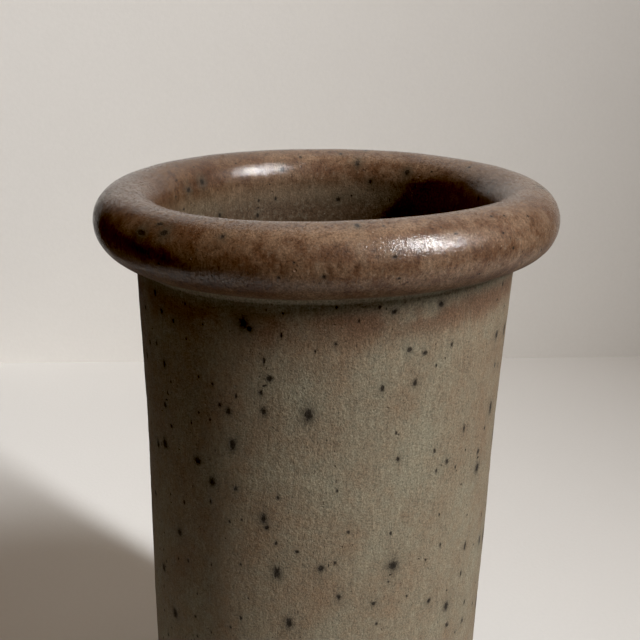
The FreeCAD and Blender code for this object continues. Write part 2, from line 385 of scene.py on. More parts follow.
def skin(s, n_phi, bead=True):
    """Points, normals and coordinates of the skin at lengths s: arrays [len(s), n_phi, ...]."""
    phi = np.linspace(0, 2 * math.pi, n_phi, endpoint=False)
    phi = np.where(phi > math.pi, phi - 2 * math.pi, phi)
    r0 = np.interp(s, S_ALL, PROFILE[:, 0])
    z0 = np.interp(s, S_ALL, PROFILE[:, 1])
    S, PHI = np.meshgrid(s, phi, indexing="ij")
    R = np.repeat(r0[:, None], n_phi, 1)
    Z = np.repeat(z0[:, None], n_phi, 1)
    X, Y = R * np.cos(PHI), R * np.sin(PHI)
    h = relief(X, Y, Z, S, PHI)
    if bead:
        # The glaze ends above the foot in a slightly thickened, uneven lower edge.
        low = np.exp(-0.5 * ((S - 2.2 - 0.5 * perlin(X, Y, Z * 0, 9.0, 31)) / 1.1) ** 2)
        h = h + 0.10 * low
    # Plain direction of the profile, for the displacement.
    tr = np.gradient(r0, s)
    tz = np.gradient(z0, s)
    ln = np.hypot(tr, tz)
    nr, nz = tz / ln, -tr / ln
    k = smooth(0.0, 3.0, r0)
    R2 = R + h * nr[:, None] * k[:, None]
    Z2 = Z + h * nz[:, None]
    R2, Z2 = waver(R2, PHI, Z2)
    P = np.stack([R2 * np.cos(PHI), R2 * np.sin(PHI), Z2], 2)
    Rb, Zb = waver(R, PHI, Z)
    B = np.stack([Rb * np.cos(PHI), Rb * np.sin(PHI), Zb], 2)
    return P, B, normals_of(P), normals_of(B), S, PHI, R


def curve_steps(s0, s1, fine_at, coarse, fine, reach):
    """Lengths from s0 to s1, closer together near the given places."""
    out = [s0]
    while out[-1] < s1:
        d = min([abs(out[-1] - q) for q in fine_at] + [1e9])
        t = min(1.0, d / reach)
        out.append(out[-1] + fine + (coarse - fine) * t)
    out = np.array(out)
    return s0 + (out - s0) * (s1 - s0) / (out[-1] - s0)


def grid_faces(rows, cols, start, flip=False):
    i = np.arange(rows - 1)[:, None] * cols
    j = np.arange(cols)[None, :]
    k = (j + 1) % cols
    a, b, c, d = start + i + j, start + i + k, start + i + cols + k, start + i + cols + j
    f = np.stack([a, b, c, d] if not flip else [a, d, c, b], 2).reshape(-1, 4)
    return f


def mesh_object(name, verts_mm, quads, tris, normals, attrs, mats):
    me = bpy.data.meshes.new(name)
    faces = [tuple(int(v) for v in f) for f in quads] + [tuple(int(v) for v in f) for f in tris]
    me.from_pydata((np.asarray(verts_mm) * MM).tolist(), [], faces)
    me.validate(verbose=False)
    me.update()
    for p in me.polygons:
        p.use_smooth = True
    for key, val in attrs.items():
        val = np.asarray(val, dtype=np.float32)
        if val.ndim == 1:
            at = me.attributes.new(key, "FLOAT", "POINT")
            at.data.foreach_set("value", val)
        else:
            at = me.attributes.new(key, "FLOAT_VECTOR", "POINT")
            at.data.foreach_set("vector", val.reshape(-1))
    if normals is not None:
        me.normals_split_custom_set_from_vertices([tuple(n) for n in np.asarray(normals, float)])
    ob = bpy.data.objects.new(name, me)
    scene.collection.objects.link(ob)
    for m in mats:
        me.materials.append(m)
    return ob


def shell(name, s0, s1, fine_at, coarse, thickness, mat, centre=False, bead=False):
    """A closed skin of glaze: its face is the exposed surface from s0 to s1, and its back lies on the clay."""
    s = curve_steps(s0, s1, fine_at, coarse, 0.45, 7.0)
    # One more sample beyond each open end so that the normals run on into the neighbouring piece.
    pad_lo = [s0 - 0.6] if s0 > 0.7 else []
    pad_hi = [s1 + 0.6] if s1 < S_ALL[-1] - 0.7 else []
    full = np.concatenate([pad_lo, s, pad_hi])
    P, B, NP, NB, S, PHI, R = skin(full, N_PHI, bead)
    cut = slice(len(pad_lo), len(full) - len(pad_hi))
    P, B, NP, NB, S, PHI, R = [q[cut] for q in (P, B, NP, NB, S, PHI, R)]
    t = thickness(S)
    if bead:
        # Rounded lower edge: the last part of the skin draws in to the clay.
        e = np.clip(1 - (S - s0) / 0.9, 0, 1)
        drop = t * 0.92 * (1 - np.sqrt(np.clip(1 - e ** 2, 0, 1)))
        P = P - NP * drop[..., None]
        NP = normals_of(P)
    rows, cols = P.shape[:2]
    # The back is coarser in rows.
    idx = np.unique(np.concatenate([[0], np.linspace(0, rows - 1, 26).round().astype(int), [rows - 1]]))
    back = (B - NB * t[..., None])[idx]
    nb = len(idx)
    if centre:
        # Both faces close at the middle of the floor with one vertex each.
        front = P[:-1]
        backg = back[:-1]
        verts = [front.reshape(-1, 3), backg.reshape(-1, 3), P[-1].mean(0)[None], back[-1].mean(0)[None]]
        nf, nbk = (rows - 1) * cols, (nb - 1) * cols
        quads = [grid_faces(rows - 1, cols, 0), grid_faces(nb - 1, cols, nf, True)]
        cf, cb = nf + nbk, nf + nbk + 1
        j = np.arange(cols)
        k = (j + 1) % cols
        tf = np.stack([(rows - 2) * cols + j, (rows - 2) * cols + k, np.full(cols, cf)], 1)
        tb = np.stack([nf + (nb - 2) * cols + k, nf + (nb - 2) * cols + j, np.full(cols, cb)], 1)
        tris = np.vstack([tf, tb])
        end0 = np.stack([j, nf + j, nf + k, k], 1)
        quads.append(end0)
        nrm = np.vstack([NP[:-1].reshape(-1, 3), -NB[idx][:-1].reshape(-1, 3), [[0, 0, 1]], [[0, 0, -1]]])
        SS = np.concatenate([S[:-1].ravel(), S[idx][:-1].ravel(), [S[-1, 0]], [S[-1, 0]]])
        PP = np.concatenate([PHI[:-1].ravel(), PHI[idx][:-1].ravel(), [0], [0]])
        RR = np.concatenate([R[:-1].ravel(), R[idx][:-1].ravel(), [0], [0]])
    else:
        verts = [P.reshape(-1, 3), back.reshape(-1, 3)]
        nf = rows * cols
        quads = [grid_faces(rows, cols, 0), grid_faces(nb, cols, nf, True)]
        j = np.arange(cols)
        k = (j + 1) % cols
        quads.append(np.stack([j, nf + j, nf + k, k], 1))
        lf, lb = (rows - 1) * cols, nf + (nb - 1) * cols
        quads.append(np.stack([lf + j, lf + k, lb + k, lb + j], 1))
        tris = np.zeros((0, 3), int)
        nrm = np.vstack([NP.reshape(-1, 3), -NB[idx].reshape(-1, 3)])
        SS = np.concatenate([S.ravel(), S[idx].ravel()])
        PP = np.concatenate([PHI.ravel(), PHI[idx].ravel()])
        RR = np.concatenate([R.ravel(), R[idx].ravel()])
    verts = np.vstack(verts)
    quads = np.vstack(quads)
    l1, l2, halo = spot_fields(SS, PP, np.maximum(RR, 0.5))
    # The shade attribute carries painted shade for the side of the pot away from the key light.
    attrs = {"spot_a": l1, "spot_b": l2, "halo": halo, "run": SS,
             "tone": tone_field(verts[:, 0], verts[:, 1], verts[:, 2], SS, PP),
             "shade": painted_shade_field(verts[:, 0], verts[:, 1], verts[:, 2], SS, PP)}
    ob = mesh_object(name, verts, quads, tris, nrm, attrs, [mat])
    return ob


# ----------------------------------------------------------------------------------------------
# Slow colour changes of the glaze, and a painted shade on one side, as fields on the mesh
# ----------------------------------------------------------------------------------------------
def blob(phi, z, az, height, wide, tall):
    d = (phi - math.radians(az) + math.pi) % (2 * math.pi) - math.pi
    return np.exp(-0.5 * ((d * 49.0 / wide) ** 2 + ((z - height) / tall) ** 2))


def tone_field(x, y, z, s, phi):
    """0 is grey-olive, 1 is red-brown. Streaks lean as the glaze was poured and the pot turned."""
    ph = phi - 0.47 * z / 49.0
    xs, ys = 49.0 * np.cos(ph), 49.0 * np.sin(ph)
    streak = perlin(xs, ys, z, (8.5, 8.5, 52.0), 41)
    cloud = perlin(x, y, z, (26, 26, 22), 42)
    patch = perlin(x, y, z, (11, 11, 12), 43)
    t = 0.36 + 0.34 * streak + 0.26 * cloud + 0.16 * patch
    t = t + 0.24 * smooth(60, 150, z) * (s < S_CREASE)
    t = t - 0.30 * blob(phi, z, -62, 128, 15, 11) - 0.22 * blob(phi, z, -70, 150, 9, 9)
    t = t + 0.30 * blob(phi, z, -104, 160, 24, 5)
    return np.clip(t, 0, 1)


def painted_shade_field(x, y, z, s, phi):
    """Painted shade on the outside glaze: one side of the pot, away from the key light, marked darker and browner in
    soft clouds.
    """
    d = (phi - math.radians(-172.0) + math.pi) % (2 * math.pi) - math.pi
    side = smooth(math.radians(76), math.radians(36), np.abs(d))
    soft = 0.5 + 0.5 * perlin(x, y, z, (30, 30, 40), 46)
    # On the roll the painted shade reaches further round.
    on_roll = smooth(S_CREASE - 2, S_CREASE + 6, s)
    far = smooth(math.radians(104), math.radians(32), np.abs(d))
    side = side * (1 - on_roll) + far * on_roll
    return np.clip(side * (0.75 + 0.5 * soft), 0, 1) * (1 - smooth(S_MOUTH - 4, S_MOUTH + 8, s))


# ----------------------------------------------------------------------------------------------
# Bare clay pieces
# ----------------------------------------------------------------------------------------------
def turned_clay(name, loop, n_phi, mat, step=0.8, grooves=None, waver_on=True, fine=None):
    """A closed section (r, z) turned about Z into a closed mesh; grooves(r, z) lifts the skin along its normal."""
    pts = []
    n = len(loop)
    for i in range(n):
        a, b = np.array(loop[i][:2], float), np.array(loop[(i + 1) % n][:2], float)
        if a[0] < 1e-9 and b[0] < 1e-9:
            pts.append(a)
            continue
        st = step if fine is None else fine(a, b, step)
        k = max(1, int(math.ceil(np.linalg.norm(b - a) / st)))
        for q in range(k):
            pts.append(a + (b - a) * q / k)
    pts = np.array(pts)
    m = len(pts)
    phi = np.linspace(0, 2 * math.pi, n_phi, endpoint=False)
    area = 0.5 * np.sum(pts[:, 0] * np.roll(pts[:, 1], -1) - np.roll(pts[:, 0], -1) * pts[:, 1])
    if area < 0:
        pts = pts[::-1]
    prev, nxt = np.roll(pts, 1, 0), np.roll(pts, -1, 0)
    tang = nxt - prev
    tang /= np.maximum(np.linalg.norm(tang, axis=1, keepdims=True), 1e-9)
    nrm = np.stack([tang[:, 1], -tang[:, 0]], 1)
    verts, index = [], []
    for i in range(m):
        r, z = pts[i]
        if r < 1e-9:
            index.append([len(verts)] * n_phi)
            verts.append((0.0, 0.0, z))
            continue
        rr = np.full(n_phi, r)
        zz = np.full(n_phi, z)
        if grooves is not None:
            h = grooves(rr, zz, phi)
            rr = rr + nrm[i, 0] * h
            zz = zz + nrm[i, 1] * h
        if waver_on:
            rr, zz = waver(rr, np.where(phi > math.pi, phi - 2 * math.pi, phi), zz)
        base = len(verts)
        index.append(list(range(base, base + n_phi)))
        verts.extend(zip((rr * np.cos(phi)).tolist(), (rr * np.sin(phi)).tolist(), zz.tolist()))
    faces = []
    for i in range(m):
        a, b = index[i], index[(i + 1) % m]
        if a[0] == a[-1] and b[0] == b[-1]:
            continue
        for j in range(n_phi):
            k = (j + 1) % n_phi
            f = (a[j], a[k], b[k], b[j])
            f = tuple(dict.fromkeys(f))
            if len(f) >= 3:
                faces.append(f)
    me = bpy.data.meshes.new(name)
    me.from_pydata([(v[0] * MM, v[1] * MM, v[2] * MM) for v in verts], [], faces)
    me.validate()
    me.update()
    for p in me.polygons:
        p.use_smooth = True
    me.set_sharp_from_angle(angle=math.radians(38))
    me.materials.append(mat)
    ob = bpy.data.objects.new(name, me)
    scene.collection.objects.link(ob)
    return ob


# ----------------------------------------------------------------------------------------------
# Materials
# ----------------------------------------------------------------------------------------------
class Graph:
    """Short names for building a node material."""

    def __init__(self, name):
        self.mat = bpy.data.materials.new(name)
        self.mat.use_nodes = True
        self.nt = self.mat.node_tree
        self.nt.nodes.clear()
        self.out = self.nt.nodes.new("ShaderNodeOutputMaterial")

    def put(self, sock, v):
        if isinstance(v, bpy.types.NodeSocket):
            self.nt.links.new(v, sock)
        elif v is not None:
            if isinstance(v, (tuple, list)) and len(v) == 3 and len(sock.default_value) == 4:
                v = (*v, 1.0)
            sock.default_value = v

    def math(self, op, a, b=None, c=None, clamp=False):
        n = self.nt.nodes.new("ShaderNodeMath")
        n.operation = op
        n.use_clamp = clamp
        for s, v in zip(n.inputs, (a, b, c)):
            if v is not None:
                self.put(s, v)
        return n.outputs[0]

    def add(self, a, b):
        return self.math("ADD", a, b)

    def mul(self, a, b):
        return self.math("MULTIPLY", a, b)

    def mad(self, a, k, c):
        return self.math("MULTIPLY_ADD", a, k, c)

    def vec(self, op, a, b=None, scale=None):
        n = self.nt.nodes.new("ShaderNodeVectorMath")
        n.operation = op
        self.put(n.inputs[0], a)
        if b is not None:
            self.put(n.inputs[1], b)
        if scale is not None:
            self.put(n.inputs["Scale"], scale)
        return n.outputs["Value"] if op in ("LENGTH", "DOT_PRODUCT", "DISTANCE") else n.outputs["Vector"]

    def xyz(self, v):
        n = self.nt.nodes.new("ShaderNodeSeparateXYZ")
        self.put(n.inputs[0], v)
        return n.outputs

    def join(self, x, y, z):
        n = self.nt.nodes.new("ShaderNodeCombineXYZ")
        for s, v in zip(n.inputs, (x, y, z)):
            self.put(s, v)
        return n.outputs[0]

    def ramp(self, v, lo, hi, a=0.0, b=1.0, kind="SMOOTHSTEP"):
        n = self.nt.nodes.new("ShaderNodeMapRange")
        n.interpolation_type = kind
        for s, q in zip(n.inputs, (v, lo, hi, a, b)):
            self.put(s, q)
        return n.outputs[0]

    def mix(self, f, a, b, blend="MIX"):
        n = self.nt.nodes.new("ShaderNodeMix")
        n.data_type = "RGBA"
        n.blend_type = blend
        self.put(n.inputs[0], f)
        self.put(n.inputs[6], a)
        self.put(n.inputs[7], b)
        return n.outputs[2]

    def noise(self, p, size, detail=2.0, rough=0.5, warp=0.0):
        """Noise in about 0..1 with features of the given size in mm; size is a number or three."""
        if not np.isscalar(size):
            p = self.vec("MULTIPLY", p, tuple(1.0 / q for q in size))
            size = 1.0
        n = self.nt.nodes.new("ShaderNodeTexNoise")
        self.put(n.inputs["Vector"], p)
        n.inputs["Scale"].default_value = 1.0 / size
        n.inputs["Detail"].default_value = detail
        n.inputs["Roughness"].default_value = rough
        n.inputs["Distortion"].default_value = warp
        return n.outputs[0]

    def cells(self, p, size, feature="F1", rand=1.0):
        n = self.nt.nodes.new("ShaderNodeTexVoronoi")
        n.feature = feature
        self.put(n.inputs["Vector"], p)
        n.inputs["Scale"].default_value = 1.0 / size
        n.inputs["Randomness"].default_value = rand
        return n

    def attr(self, name):
        n = self.nt.nodes.new("ShaderNodeAttribute")
        n.attribute_type = "GEOMETRY"
        n.attribute_name = name
        return n

    def bump(self, height, dist, strength=1.0, normal=None):
        n = self.nt.nodes.new("ShaderNodeBump")
        n.inputs["Strength"].default_value = strength
        n.inputs["Distance"].default_value = dist * MM
        self.put(n.inputs["Height"], height)
        if normal is not None:
            self.put(n.inputs["Normal"], normal)
        return n.outputs[0]

    def place(self):
        t = self.nt.nodes.new("ShaderNodeTexCoord")
        return self.vec("SCALE", t.outputs["Object"], scale=1000.0)


def spot_mask(g, name, wob, soft=0.22):
    """1 inside the spots of one layer, with an outline that the noise wob makes uneven."""
    a = g.attr(name)
    x, y, far = g.xyz(a.outputs["Vector"])
    d = g.vec("LENGTH", g.join(x, y, 0.0))
    d = g.add(d, wob)
    m = g.ramp(d, 1.0 + soft, 1.0 - soft)
    near = g.math("LESS_THAN", far, 0.004)
    return g.mul(m, near), d, near


GREY = (0.186, 0.162, 0.111)
BROWN = (0.158, 0.108, 0.066)
RIM_A = (0.150, 0.092, 0.055)
RIM_B = (0.092, 0.045, 0.023)
# The inside colours are far darker than the outside glaze: partly the liner's own colour, partly painted shade of the
# hollow.
INSIDE_A = (0.070, 0.045, 0.028)
INSIDE_B = (0.056, 0.048, 0.031)
IRON = (0.010, 0.007, 0.005)


def glaze(name, roughness_lo, roughness_hi, coat, coat_rough, spec, relief_mm):
    g = Graph(name)
    P = g.place()
    run = g.attr("run").outputs["Fac"]
    tone = g.attr("tone").outputs["Fac"]
    halo = g.attr("halo").outputs["Fac"]

    # Where on the pot: outside wall, roll, inside.
    on_roll = g.mul(g.ramp(run, S_CREASE - 1.5, S_CREASE + 3.0), g.ramp(run, S_MOUTH + 9.0, S_MOUTH - 4.0))
    inside = g.ramp(run, S_MOUTH - 2.0, S_MOUTH + 8.0)
    deep = g.ramp(run, S_MOUTH + 10.0, S_MOUTH + 95.0)
    band = g.mul(g.ramp(run, S_CREASE - 15.0, S_CREASE - 7.5), g.ramp(run, S_CREASE + 1.0, S_CREASE - 1.5))
    under = g.mul(g.ramp(run, S_CREASE - 6.5, S_CREASE - 2.5), g.ramp(run, S_CREASE + 3.2, S_CREASE + 0.6))

    n_big = g.noise(P, 10.0, 3.0, 0.55)
    n_mid = g.noise(P, 3.6, 4.0, 0.62)
    n_fine = g.noise(P, 1.25, 4.0, 0.66)
    n_dust = g.noise(P, 0.46, 3.0, 0.68)
    n_edge = g.noise(P, 0.75, 2.0, 0.6)
    grain = g.noise(P, (0.62, 0.62, 3.6), 3.0, 0.65)
    fleck = g.noise(P, (1.5, 1.5, 3.6), 3.0, 0.6)

    # Body: grey-olive breaking to red-brown.
    f = g.mad(n_big, 0.90, -0.45)
    f = g.add(tone, f)
    f = g.add(f, g.mad(n_mid, 0.70, -0.35))
    f = g.add(f, g.mad(n_fine, 0.75, -0.375))
    f = g.math("ADD", f, g.mad(fleck, 0.55, -0.275), clamp=True)
    body = g.mix(f, GREY, BROWN)
    body = g.mix(g.mul(band, g.ramp(n_big, 0.34, 0.60, 0.20, 0.85)), body, (0.105, 0.056, 0.031))
    body = g.mix(g.mul(under, g.ramp(n_mid, 0.3, 0.7, 0.50, 0.95)), body, (0.138, 0.122, 0.086))

    # Roll: mottled umber, redder where the glaze has drawn back, nearly black where it lies thin over iron.
    fr = g.ramp(g.add(g.mad(n_mid, 0.60, 0.0), g.mad(n_big, 0.40, 0.0)), 0.38, 0.62)
    rim = g.mix(fr, RIM_B, RIM_A)
    rim = g.mix(g.ramp(n_fine, 0.54, 0.70, 0.0, 0.50), rim, (0.165, 0.118, 0.080))
    rim = g.mix(g.ramp(n_fine, 0.46, 0.32, 0.0, 0.60), rim, (0.036, 0.018, 0.010))
    rim = g.mix(g.ramp(g.add(g.mul(n_mid, 0.7), g.mul(fleck, 0.3)), 0.43, 0.35, 0.0, 0.28), rim, (0.036, 0.020, 0.012))
    # Next to the crease the roll's underside turns a greener, darker brown: greenish glaze colour, darkened as painted
    # shade under the roll.
    rim = g.mix(g.mul(g.ramp(run, S_CREASE + 9.0, S_CREASE + 1.5), g.ramp(n_mid, 0.3, 0.7, 0.35, 0.8)), rim, (0.070, 0.055, 0.034))

    # Inside: brown near the mouth, grey-olive lower down; both kept dark as painted shade of the hollow.
    di = g.math("ADD", deep, g.mad(n_big, 0.7, -0.35), clamp=True)
    inner = g.mix(di, INSIDE_A, INSIDE_B)
    inner = g.mix(g.ramp(n_fine, 0.50, 0.68, 0.0, 0.45), inner, (0.150, 0.125, 0.088))
    inner = g.mix(g.ramp(n_fine, 0.46, 0.32, 0.0, 0.55), inner, (0.030, 0.022, 0.014))

    col = g.mix(on_roll, body, rim)
    col = g.mix(inside, col, inner)
    # Painted shade: the side away from the key light is multiplied darker and browner, more strongly on the roll.
    col = g.mix(g.attr("shade").outputs["Fac"], col, g.mix(1.0, col, g.mix(on_roll, (0.76, 0.70, 0.62), (0.54, 0.46, 0.38)), "MULTIPLY"))

    # Fine grain and dust of the matt surface.
    k = g.mad(n_dust, 2.1, -0.05)
    k = g.mul(k, g.mad(grain, 0.80, 0.60))
    k = g.mul(k, g.mad(n_mid, 0.30, 0.85))
    col = g.mix(1.0, col, g.join(k, k, k), "MULTIPLY")

    # Halos round the larger iron spots, then the spots, then fine iron dust.
    col = g.mix(g.mul(halo, g.mad(n_fine, 0.7, 0.15)), col, (0.066, 0.060, 0.042))
    wob = g.add(g.mad(n_edge, 1.70, -0.85), g.mad(n_dust, 0.8, -0.4))
    ma, da, near_a = spot_mask(g, "spot_a", wob, 0.36)
    mb, db, near_b = spot_mask(g, "spot_b", wob, 0.36)
    spots = g.math("MAXIMUM", ma, mb)
    ring = g.math("MAXIMUM", g.mul(g.ramp(da, 2.5, 0.8), near_a), g.mul(g.ramp(db, 2.5, 0.8), near_b))
    col = g.mix(g.mul(ring, 0.55), col, (0.034, 0.024, 0.015))
    v = g.cells(P, 1.75, "F1")
    pick = g.xyz(v.outputs["Color"])[0]
    dust = g.mul(g.ramp(g.add(v.outputs["Distance"], g.mad(n_dust, 0.22, -0.11)), 0.150, 0.060), g.ramp(pick, 0.45, 0.95))
    col = g.mix(g.mul(dust, 0.80), col, (0.026, 0.015, 0.009))
    v3 = g.cells(g.vec("MULTIPLY", P, (1.0, 1.0, 0.42)), 2.3, "F1")
    pick3 = g.xyz(v3.outputs["Color"])[1]
    dash = g.mul(g.ramp(g.add(v3.outputs["Distance"], g.mad(n_dust, 0.14, -0.07)), 0.120, 0.045), g.ramp(pick3, 0.55, 0.95))
    col = g.mix(g.mul(dash, 0.75), col, (0.030, 0.018, 0.011))
    v2 = g.cells(g.vec("ADD", P, (31.0, 7.0, 3.0)), 3.0, "F1")
    pick2 = g.xyz(v2.outputs["Color"])[1]
    pale = g.mul(g.ramp(v2.outputs["Distance"], 0.085, 0.03), g.ramp(pick2, 0.70, 0.95))
    col = g.mix(g.mul(pale, 0.55), col, (0.30, 0.25, 0.19))
    col = g.mix(g.mul(spots, g.mad(n_edge, 0.9, 0.38)), col, IRON)

    # Roughness: satin, with duller and glossier clouds; the larger iron spots lie matt.
    ro = g.ramp(g.add(g.mul(n_mid, 0.6), g.mul(n_fine, 0.4)), 0.36, 0.64, roughness_lo, roughness_hi)
    ro = g.math("ADD", ro, g.mul(spots, 0.15), clamp=True)
    # The underside of the roll is dry: no shine, and duller. Elsewhere the shine is broken by fine pits.
    dry = g.ramp(run, S_CREASE + 15.0, S_CREASE + 7.0)
    ro = g.math("ADD", ro, g.mul(dry, 0.22), clamp=True)
    shine = g.ramp(g.add(g.mul(n_dust, 0.5), g.mul(n_edge, 0.5)), 0.43, 0.50, 0.20 * coat, coat)
    shine = g.mul(shine, g.math("SUBTRACT", 1.0, dry))

    # Relief: a lumpy, slightly pitted skin.
    pit = g.cells(P, 3.6, "F1")
    pitpick = g.xyz(pit.outputs["Color"])[2]
    hole = g.mul(g.ramp(pit.outputs["Distance"], 0.105, 0.035), g.math("GREATER_THAN", pitpick, 0.78))
    h = g.add(g.mul(n_fine, 0.80), g.mul(n_dust, 0.62))
    h = g.add(h, g.mul(grain, 0.22))
    h = g.add(h, g.mul(hole, -1.6))
    h = g.add(h, g.mul(spots, -0.35))
    nrm = g.bump(h, relief_mm)
    coat_nrm = g.bump(g.add(g.mul(n_dust, 0.9), g.mul(n_fine, 0.5)), relief_mm * 0.65)

    b = g.nt.nodes.new("ShaderNodeBsdfPrincipled")
    g.put(b.inputs["Base Color"], col)
    g.put(b.inputs["Roughness"], ro)
    g.put(b.inputs["Normal"], nrm)
    b.inputs["Specular IOR Level"].default_value = spec
    if coat > 0:
        g.put(b.inputs["Coat Weight"], shine)
    b.inputs["Coat Roughness"].default_value = coat_rough
    g.put(b.inputs["Coat Normal"], coat_nrm)
    g.nt.links.new(b.outputs[0], g.out.inputs[0])
    return g.mat


def bare_clay(name):
    g = Graph(name)
    P = g.place()
    n_big = g.noise(P, 14.0, 3.0, 0.55)
    n_fine = g.noise(P, 0.9, 3.0, 0.6)
    n_dust = g.noise(P, 0.3, 2.0, 0.6)
    col = g.mix(g.ramp(n_big, 0.35, 0.65), (0.40, 0.30, 0.205), (0.33, 0.225, 0.145))
    x, y, z = g.xyz(P)
    rad = g.vec("LENGTH", g.join(x, y, 0.0))
    lines = g.noise(g.join(rad, g.mul(z, 1.0), 0.0), 0.55, 2.0, 0.5)
    k = g.mul(g.mad(n_dust, 0.4, 0.8), g.mad(n_fine, 0.3, 0.85))
    k = g.mul(k, g.mad(lines, 0.3, 0.85))
    col = g.mix(1.0, col, g.join(k, k, k), "MULTIPLY")
    v = g.cells(P, 1.9, "F1")
    pick = g.xyz(v.outputs["Color"])[0]
    dots = g.mul(g.ramp(g.add(v.outputs["Distance"], g.mad(n_dust, 0.12, -0.06)), 0.17, 0.07), g.ramp(pick, 0.45, 0.9))
    col = g.mix(g.mul(dots, 0.85), col, (0.05, 0.032, 0.02))
    v2 = g.cells(g.vec("ADD", P, (5.0, 3.0, 9.0)), 1.5, "F1")
    grog = g.mul(g.ramp(v2.outputs["Distance"], 0.26, 0.12), g.math("GREATER_THAN", g.xyz(v2.outputs["Color"])[1], 0.6))
    col = g.mix(g.mul(grog, 0.5), col, (0.52, 0.43, 0.32))
    h = g.add(g.mul(n_fine, 0.5), g.mul(n_dust, 0.5))
    h = g.add(h, g.mul(grog, 0.6))
    h = g.add(h, g.mul(lines, 0.5))
    ro = g.ramp(n_fine, 0.3, 0.7, 0.72, 0.92)
    b = g.nt.nodes.new("ShaderNodeBsdfPrincipled")
    g.put(b.inputs["Base Color"], col)
    g.put(b.inputs["Roughness"], ro)
    g.put(b.inputs["Normal"], g.bump(h, 0.10))
    b.inputs["Specular IOR Level"].default_value = 0.35
    g.nt.links.new(b.outputs[0], g.out.inputs[0])
    return g.mat


def plaster(name, colour, size, depth, rough=0.85):
    """Painted board or paper of the studio: nearly plain, with a faint unevenness."""
    g = Graph(name)
    P = g.place()
    n1 = g.noise(P, 160.0, 3.0, 0.5)
    n2 = g.noise(P, size, 3.0, 0.6)
    k = g.mul(g.mad(n1, 0.05, 0.975), g.mad(n2, 0.05, 0.975))
    col = g.mix(1.0, colour, g.join(k, k, k), "MULTIPLY")
    b = g.nt.nodes.new("ShaderNodeBsdfPrincipled")
    g.put(b.inputs["Base Color"], col)
    b.inputs["Roughness"].default_value = rough
    b.inputs["Specular IOR Level"].default_value = 0.25
    g.put(b.inputs["Normal"], g.bump(n2, depth))
    g.nt.links.new(b.outputs[0], g.out.inputs[0])
    return g.mat


# ----------------------------------------------------------------------------------------------
# The pieces
# ----------------------------------------------------------------------------------------------
MAT_WALL = glaze("glaze_outer", 0.52, 0.68, 0.0, 0.3, 0.34, 0.290)
MAT_RIM = glaze("glaze_rim", 0.48, 0.62, 1.0, 0.11, 0.20, 0.130)
MAT_LINER = glaze("glaze_liner", 0.46, 0.60, 1.0, 0.11, 0.22, 0.120)
MAT_CLAY = bare_clay("stoneware_clay")

S_END = S_ALL[-1]
S_FLOOR = S_END - (BORE_R - FILLET)


def even(s):
    return np.full_like(s, GLAZE_T)


def lining(s):
    return GLAZE_T + (POOL_T - GLAZE_T) * np.clip((s - S_MOUTH) / (S_FLOOR - 14.1 - S_MOUTH), 0, 1)


wall_glaze = shell("wall_glaze", 0.0, S_CREASE, [0.0, S_CREASE], 1.1, even, MAT_WALL, bead=True)
rim_glaze = shell("rim_glaze", S_CREASE, S_MOUTH, [S_CREASE], 0.5, even, MAT_RIM)
liner_glaze = shell("liner_glaze", S_MOUTH, S_END, [S_MOUTH, S_FLOOR - 7], 1.4, lining, MAT_LINER, centre=True)

# The clay behind the glaze, and the bare foot.
CLAY_OUT = spline([(z, r - GLAZE_T) for z, r in WALL_OUT], 220)
CREASE_CLAY_R = 49.6
CREASE_CLAY_A = -math.acos((CREASE_CLAY_R - ROLL_R) / (ROLL_A - GLAZE_T))
SHOULDER_Z = ROLL_Z + (ROLL_B - GLAZE_T) * math.sin(CREASE_CLAY_A)
CLAY_FILLET = 9.6
C_R, C_Z = BORE_R - FILLET, FLOOR_TOP + FILLET
CORNER_IN = (C_R + CLAY_FILLET * math.cos(math.radians(-20)), C_Z + CLAY_FILLET * math.sin(math.radians(-20)))
CORNER_OUT = (45.6, CORNER_IN[1] - (45.6 - CORNER_IN[0]) * math.tan(math.radians(20)))


def clay_r(z):
    return float(np.interp(z, CLAY_OUT[:, 1], CLAY_OUT[:, 0]))


def ring_arc(a0, a1, radius, steps):
    return [(C_R + radius * math.cos(math.radians(a)), C_Z + radius * math.sin(math.radians(a))) for a in np.linspace(a0, a1, steps)]


up = [tuple(p) for p in CLAY_OUT if p[1] > CORNER_OUT[1] + 0.3]
wall_loop = [CORNER_IN, CORNER_OUT, (clay_r(CORNER_OUT[1]), CORNER_OUT[1])] + up + [
    (CREASE_CLAY_R, SHOULDER_Z), (NECK_R, SHOULDER_Z), (NECK_R, ROLL_Z), (43.8, ROLL_Z)] + ring_arc(0, -18, CLAY_FILLET, 8)
coil = [(ROLL_R + (ROLL_A - GLAZE_T) * math.cos(t), ROLL_Z + (ROLL_B - GLAZE_T) * math.sin(t)) for t in np.linspace(CREASE_CLAY_A, math.pi, 64)]
rim_loop = coil + [(NECK_R, ROLL_Z), (NECK_R, SHOULDER_Z)]
low = [tuple(p) for p in CLAY_OUT if p[1] < CORNER_OUT[1] - 0.3]
disc_loop = [(0.0, FLOOR_UNDER_Z), (FOOT_R_IN, FLOOR_UNDER_Z), (FOOT_R_IN, FOOT_H), (FOOT_R_OUT, FOOT_H)] + low + [
    (clay_r(CORNER_OUT[1]), CORNER_OUT[1]), CORNER_OUT] + ring_arc(-20, -90, CLAY_FILLET, 20) + [(0.0, FLOOR_TOP - POOL_T)]
k = FOOT_ROUND
foot_loop = [(FOOT_R_IN, FOOT_H)] + [(FOOT_R_IN + k - k * math.cos(a), k - k * math.sin(a)) for a in np.linspace(0, math.pi / 2, 9)] + [
    (FOOT_R_OUT - k + k * math.sin(a), k - k * math.cos(a)) for a in np.linspace(0, math.pi / 2, 9)] + [(FOOT_R_OUT, FOOT_H)]


